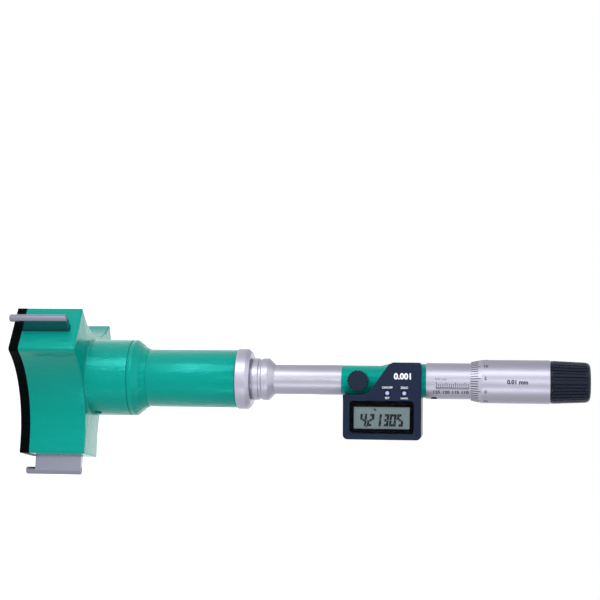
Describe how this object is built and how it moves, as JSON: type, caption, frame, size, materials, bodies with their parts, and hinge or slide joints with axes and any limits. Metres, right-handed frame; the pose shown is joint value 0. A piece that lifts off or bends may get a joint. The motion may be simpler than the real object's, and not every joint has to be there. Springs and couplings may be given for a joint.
{
  "type": "inside micrometer",
  "caption": "Digital three-point inside micrometer with a three-armed head, cone-driven anvils, display, graduated thimble and ratchet.",
  "frame": {"origin": "centre of the front face of the head, which it stands on", "axes": "+Z along the measuring axis to the ratchet, display facing -Y"},
  "size_m": [0.0903, 0.0923, 0.3044],
  "materials": {
    "green": "gloss",
    "black_cover": "satin",
    "navy": "satin",
    "satin": "satin chrome",
    "steel": "ground",
    "brass": "turned",
    "mask": "gloss",
    "window": "clear",
    "lcd": "matte",
    "board": "matte",
    "rubber": "matte",
    "cap": "gloss"
  },
  "bodies": {
    "frame": {"head_body": "green", "front_cover": "black_cover", "cover_screws": "steel", "neck_screw": "steel", "spring_pins": "steel", "neck_tube": "green", "guide_bush": "brass", "rod_spring": "steel", "coupling_ring": "satin", "barrel": "satin", "display_housing": "green", "front_panel": "navy", "display_window": "window", "display_mask": "mask", "lcd_panel": "lcd", "circuit_board": "board", "coin_cell": "steel", "housing_screws": "steel", "encoder_stator": "board", "lock_pad": "brass", "sleeve": "satin", "spindle_nut": "brass", "return_spring_a": "steel", "return_spring_b": "steel", "return_spring_c": "steel"},
    "push_rod": {"cone": "steel", "push_rod": "steel", "thrust_ball": "steel"},
    "thimble": {"spindle": "steel", "thimble": "satin", "friction_washer": "brass", "ratchet_spring": "steel", "ratchet_screw": "steel"},
    "ratchet": {"ratchet_cap": "cap"},
    "anvil_a": {"anvil_blade_a": "steel", "measuring_pin_a": "steel"},
    "anvil_b": {"anvil_blade_b": "steel", "measuring_pin_b": "steel"},
    "anvil_c": {"anvil_blade_c": "steel", "measuring_pin_c": "steel"},
    "encoder": {"encoder_rotor": "brass"},
    "lock": {"lock_knob": "cap"},
    "button_1": {"button_left": "rubber"},
    "button_2": {"button_right": "rubber"},
    "battery_door": {"battery_cap": "cap"}
  },
  "joints": [
    {"name": "cone_feed", "type": "slide", "parent": "frame", "child": "push_rod", "axis": [0, 0, -1], "range_m": [-0.00701, 0.01799], "deforming": ["rod_spring"]},
    {"name": "thimble_turn", "type": "hinge", "parent": "push_rod", "child": "thimble", "pos_m": [0, 0, 0.26], "axis": [0, 0, -1], "range_deg": [-5048.2, 12953.8]},
    {"name": "ratchet_turn", "type": "hinge", "parent": "thimble", "child": "ratchet", "pos_m": [0, 0, 0.294], "axis": [0, 0, -1], "continuous": true},
    {"name": "anvil_a_slide", "type": "slide", "parent": "frame", "child": "anvil_a", "axis": [-0.6157, -0.788, 0], "range_m": [-0.00351, 0.009], "deforming": ["return_spring_a"]},
    {"name": "anvil_b_slide", "type": "slide", "parent": "frame", "child": "anvil_b", "axis": [0.9903, -0.1392, 0], "range_m": [-0.00351, 0.009], "deforming": ["return_spring_b"]},
    {"name": "anvil_c_slide", "type": "slide", "parent": "frame", "child": "anvil_c", "axis": [-0.3746, 0.9272, 0], "range_m": [-0.00351, 0.009], "deforming": ["return_spring_c"]},
    {"name": "encoder_turn", "type": "hinge", "parent": "frame", "child": "encoder", "pos_m": [0, 0, 0.19], "axis": [0, 0, -1], "range_deg": [-5048.2, 12953.8]},
    {"name": "lock_turn", "type": "hinge", "parent": "frame", "child": "lock", "pos_m": [0, -0.012, 0.1822], "axis": [0, 1, 0], "range_deg": [0, 120]},
    {"name": "button_left_press", "type": "slide", "parent": "frame", "child": "button_1", "axis": [0, 1, 0], "range_m": [0, 0.0006], "stiffness_N_per_m": 800},
    {"name": "button_right_press", "type": "slide", "parent": "frame", "child": "button_2", "axis": [0, 1, 0], "range_m": [0, 0.0006], "stiffness_N_per_m": 800},
    {"name": "battery_cap_turn", "type": "hinge", "parent": "frame", "child": "battery_door", "pos_m": [0.0202, 0.003, 0.1954], "axis": [0, 1, 0], "range_deg": [-90, 0]}
  ],
  "couplings": [
    {"joint": "thimble_turn", "follows": "cone_feed", "rad_per_m": 12566},
    {"joint": "encoder_turn", "follows": "cone_feed", "rad_per_m": 12566},
    {"joint": "anvil_a_slide", "follows": "cone_feed", "ratio": 0.5},
    {"joint": "anvil_b_slide", "follows": "cone_feed", "ratio": 0.5},
    {"joint": "anvil_c_slide", "follows": "cone_feed", "ratio": 0.5}
  ]
}
